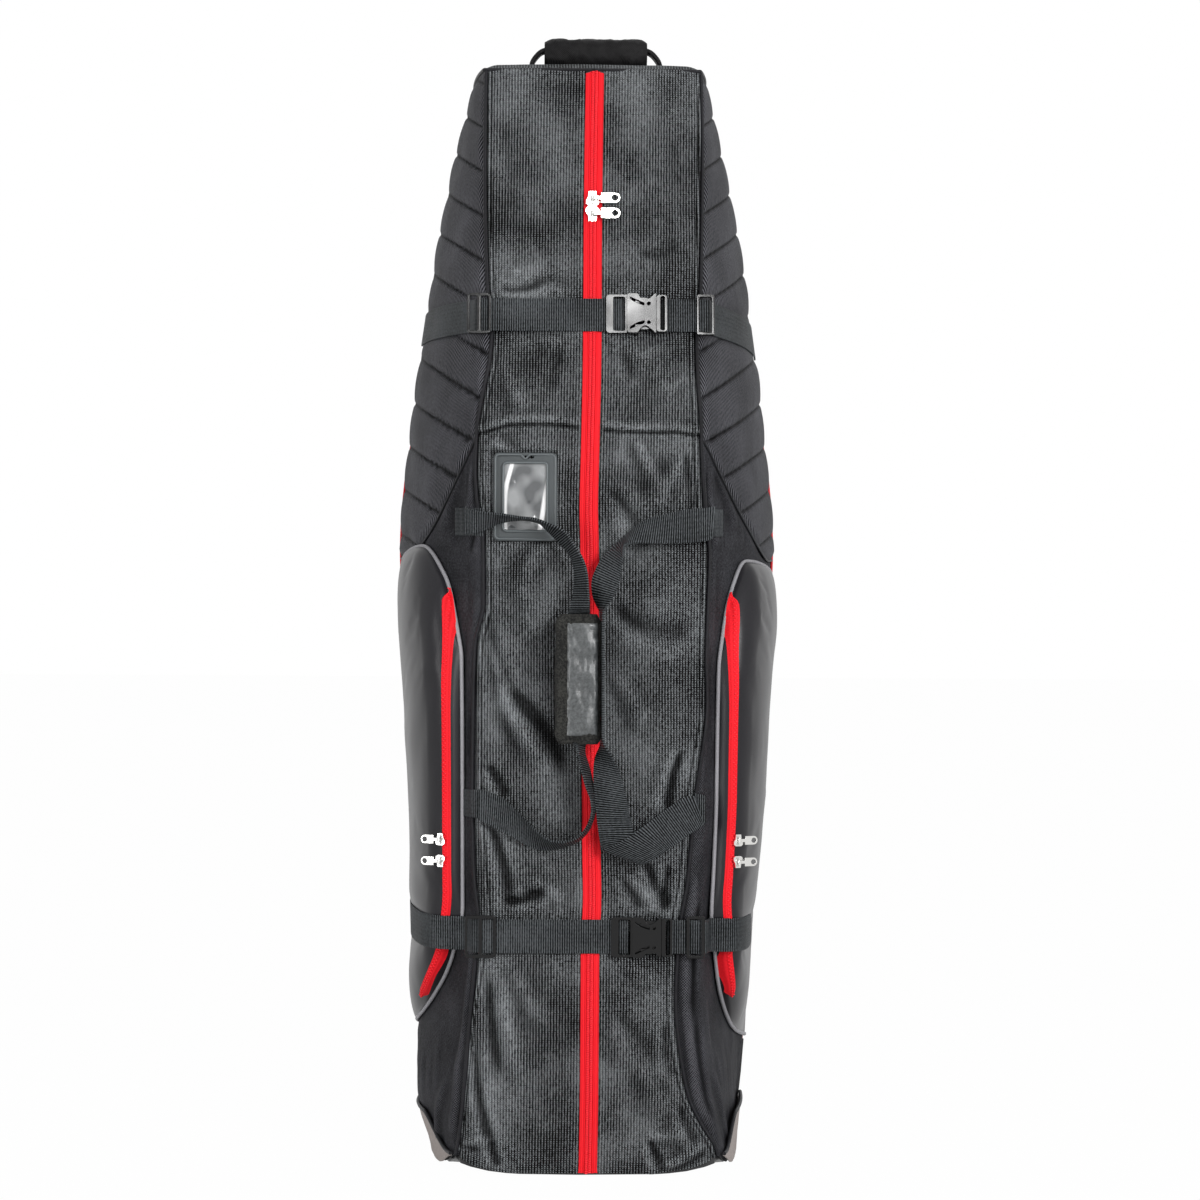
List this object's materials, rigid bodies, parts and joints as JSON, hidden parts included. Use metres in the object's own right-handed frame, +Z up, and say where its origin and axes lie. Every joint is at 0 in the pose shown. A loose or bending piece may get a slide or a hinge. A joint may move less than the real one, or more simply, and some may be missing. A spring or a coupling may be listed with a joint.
{
  "type": "golf travel case",
  "caption": "Padded wheeled travel case for golf clubs: tall tapered fabric body with a long front zip, compression straps, side pockets and carry handles.",
  "frame": {"origin": "centre of the case's outline at the level of its feet", "axes": "+Z up along the case, the front with the long zip faces -Y, +X is to the right seen from the front"},
  "size_m": [0.4386, 0.3835, 1.284],
  "materials": {
    "quilted_twill": "quilted twill, matt",
    "mesh_polyester": "ribbed polyester with a mesh look",
    "back_cloth": "plain woven polyester",
    "moulded_base": "textured moulded plastic",
    "corner_cloth": "coated reinforcing cloth",
    "pocket_satin": "smooth satin-faced cloth",
    "red_zip": "coil zip and tape",
    "webbing": "ribbed woven webbing",
    "axle_steel": "plain steel",
    "wheel_rubber": "moulded rubber and nylon",
    "silver_pull": "bright plated",
    "name_rubber": "soft moulded rubber",
    "clear_film": "clear flexible film",
    "grip_cloth": "padded satin with a napped border",
    "black_acetal": "moulded, slightly glossy"
  },
  "bodies": {
    "case": {"back_panel": "back_cloth", "side_upper_left": "quilted_twill", "side_upper_right": "quilted_twill", "side_lower_left": "mesh_polyester", "side_lower_right": "mesh_polyester", "front_upper_left": "mesh_polyester", "front_upper_right": "mesh_polyester", "front_lower_left": "mesh_polyester", "front_lower_right": "mesh_polyester", "top_panel": "mesh_polyester", "base_plate": "moulded_base", "base_boot": "moulded_base", "corner_guards": "corner_cloth", "side_pocket_left": "pocket_satin", "side_pocket_right": "pocket_satin", "pocket_zips": "red_zip", "main_zip_ends": "red_zip", "handle_anchors": "webbing", "skid_rails": "moulded_base", "wheel_axles": "axle_steel", "upper_strap_left": "webbing", "upper_plug": "black_acetal", "upper_strap_right": "webbing", "upper_ring": "black_acetal", "lower_strap_left": "webbing", "lower_plug": "black_acetal", "lower_strap_right": "webbing", "lower_ring": "black_acetal"},
    "flap_left": {"front_flap_left": "mesh_polyester", "flap_zip_left": "red_zip", "name_frame": "name_rubber", "name_film": "clear_film"},
    "flap_right": {"front_flap_right": "mesh_polyester", "flap_zip_right": "red_zip"},
    "carry_left": {"carry_loop_left": "webbing", "carry_grip": "grip_cloth"},
    "carry_right": {"carry_loop_right": "webbing"},
    "top_handle": {"top_handle_web": "webbing", "top_handle_pad": "grip_cloth"},
    "wheel_left": {"wheel_left": "wheel_rubber"},
    "wheel_right": {"wheel_right": "wheel_rubber"},
    "upper_buckle": {"upper_strap_front": "webbing", "upper_socket": "black_acetal"},
    "lower_buckle": {"lower_strap_front": "webbing", "lower_socket": "black_acetal"},
    "upper_glide": {"upper_triglide": "black_acetal"},
    "lower_glide": {"lower_triglide": "black_acetal"},
    "main_slider_up": {"main_slider_up": "silver_pull"},
    "main_pull_up": {"main_pull_up": "silver_pull"},
    "main_slider_low": {"main_slider_low": "silver_pull"},
    "main_pull_low": {"main_pull_low": "silver_pull"},
    "pocket_slider_left_up": {"pocket_slider_left_up": "silver_pull"},
    "pocket_pull_left_up": {"pocket_pull_left_up": "silver_pull"},
    "pocket_slider_left_low": {"pocket_slider_left_low": "silver_pull"},
    "pocket_pull_left_low": {"pocket_pull_left_low": "silver_pull"},
    "pocket_slider_right_up": {"pocket_slider_right_up": "silver_pull"},
    "pocket_pull_right_up": {"pocket_pull_right_up": "silver_pull"},
    "pocket_slider_right_low": {"pocket_slider_right_low": "silver_pull"},
    "pocket_pull_right_low": {"pocket_pull_right_low": "silver_pull"}
  },
  "joints": [
    {"name": "flap_left_open", "type": "hinge", "parent": "case", "child": "flap_left", "pos_m": [-0.126, -0.1355, 0.56], "axis": [0, 0, -1], "range_deg": [0, 95]},
    {"name": "flap_right_open", "type": "hinge", "parent": "case", "child": "flap_right", "pos_m": [0.126, -0.1355, 0.56], "axis": [0, 0, 1], "range_deg": [0, 95]},
    {"name": "carry_left_swing", "type": "hinge", "parent": "flap_left", "child": "carry_left", "pos_m": [-0.126, -0.1355, 0.56], "axis": [0, 0, -1], "range_deg": [0, 45]},
    {"name": "carry_right_swing", "type": "hinge", "parent": "flap_right", "child": "carry_right", "pos_m": [0.126, -0.1355, 0.56], "axis": [0, 0, 1], "range_deg": [0, 45]},
    {"name": "top_handle_flop", "type": "hinge", "parent": "case", "child": "top_handle", "pos_m": [0.006, 0.06529, 1.2529], "axis": [1, 0, 0], "range_deg": [-45, 45]},
    {"name": "wheel_left_spin", "type": "hinge", "parent": "case", "child": "wheel_left", "pos_m": [-0.132, 0.1535, 0.04], "axis": [1, 0, 0], "continuous": true},
    {"name": "wheel_right_spin", "type": "hinge", "parent": "case", "child": "wheel_right", "pos_m": [0.132, 0.1535, 0.04], "axis": [1, 0, 0], "continuous": true},
    {"name": "upper_buckle_release", "type": "slide", "parent": "case", "child": "upper_buckle", "axis": [1, 0, 0], "range_m": [-0.024, 0]},
    {"name": "upper_glide_adjust", "type": "slide", "parent": "case", "child": "upper_glide", "axis": [1, 0, 0], "range_m": [0, 0.04]},
    {"name": "lower_buckle_release", "type": "slide", "parent": "case", "child": "lower_buckle", "axis": [1, 0, 0], "range_m": [-0.024, 0]},
    {"name": "lower_glide_adjust", "type": "slide", "parent": "case", "child": "lower_glide", "axis": [1, 0, 0], "range_m": [0, 0.04]},
    {"name": "main_slider_up_run", "type": "slide", "parent": "case", "child": "main_slider_up", "axis": [0, 0.225, 0.9744], "range_m": [0, 0.12]},
    {"name": "main_slider_low_run", "type": "slide", "parent": "case", "child": "main_slider_low", "axis": [0, 0.225, 0.9744], "range_m": [-0.055, 0]},
    {"name": "main_pull_up_swing", "type": "hinge", "parent": "main_slider_up", "child": "main_pull_up", "pos_m": [0, -0.09887, 1.08409], "axis": [0, -0.225, -0.9744], "range_deg": [0, 150]},
    {"name": "main_pull_low_swing", "type": "hinge", "parent": "main_slider_low", "child": "main_pull_low", "pos_m": [0, -0.10288, 1.06674], "axis": [0, -0.225, -0.9744], "range_deg": [0, 150]},
    {"name": "pocket_slider_left_up_run", "type": "slide", "parent": "case", "child": "pocket_slider_left_up", "axis": [-0.0096, 0, 1], "range_m": [0, 0.08]},
    {"name": "pocket_pull_left_up_swing", "type": "hinge", "parent": "pocket_slider_left_up", "child": "pocket_pull_left_up", "pos_m": [-0.1663, -0.12533, 0.372], "axis": [0, 0, 1], "range_deg": [0, 120]},
    {"name": "pocket_slider_left_low_run", "type": "slide", "parent": "case", "child": "pocket_slider_left_low", "axis": [-0.0096, 0, 1], "range_m": [-0.008, 0]},
    {"name": "pocket_pull_left_low_swing", "type": "hinge", "parent": "pocket_slider_left_low", "child": "pocket_pull_left_low", "pos_m": [-0.16609, -0.12533, 0.348], "axis": [0, 0, 1], "range_deg": [0, 120]},
    {"name": "pocket_slider_right_up_run", "type": "slide", "parent": "case", "child": "pocket_slider_right_up", "axis": [0.0096, 0, 1], "range_m": [0, 0.08]},
    {"name": "pocket_pull_right_up_swing", "type": "hinge", "parent": "pocket_slider_right_up", "child": "pocket_pull_right_up", "pos_m": [0.1663, -0.12533, 0.372], "axis": [0, 0, -1], "range_deg": [0, 120]},
    {"name": "pocket_slider_right_low_run", "type": "slide", "parent": "case", "child": "pocket_slider_right_low", "axis": [0.0096, 0, 1], "range_m": [-0.008, 0]},
    {"name": "pocket_pull_right_low_swing", "type": "hinge", "parent": "pocket_slider_right_low", "child": "pocket_pull_right_low", "pos_m": [0.16609, -0.12533, 0.348], "axis": [0, 0, -1], "range_deg": [0, 120]}
  ],
  "couplings": [
    {"joint": "flap_right_open", "follows": "flap_left_open", "ratio": 1}
  ]
}
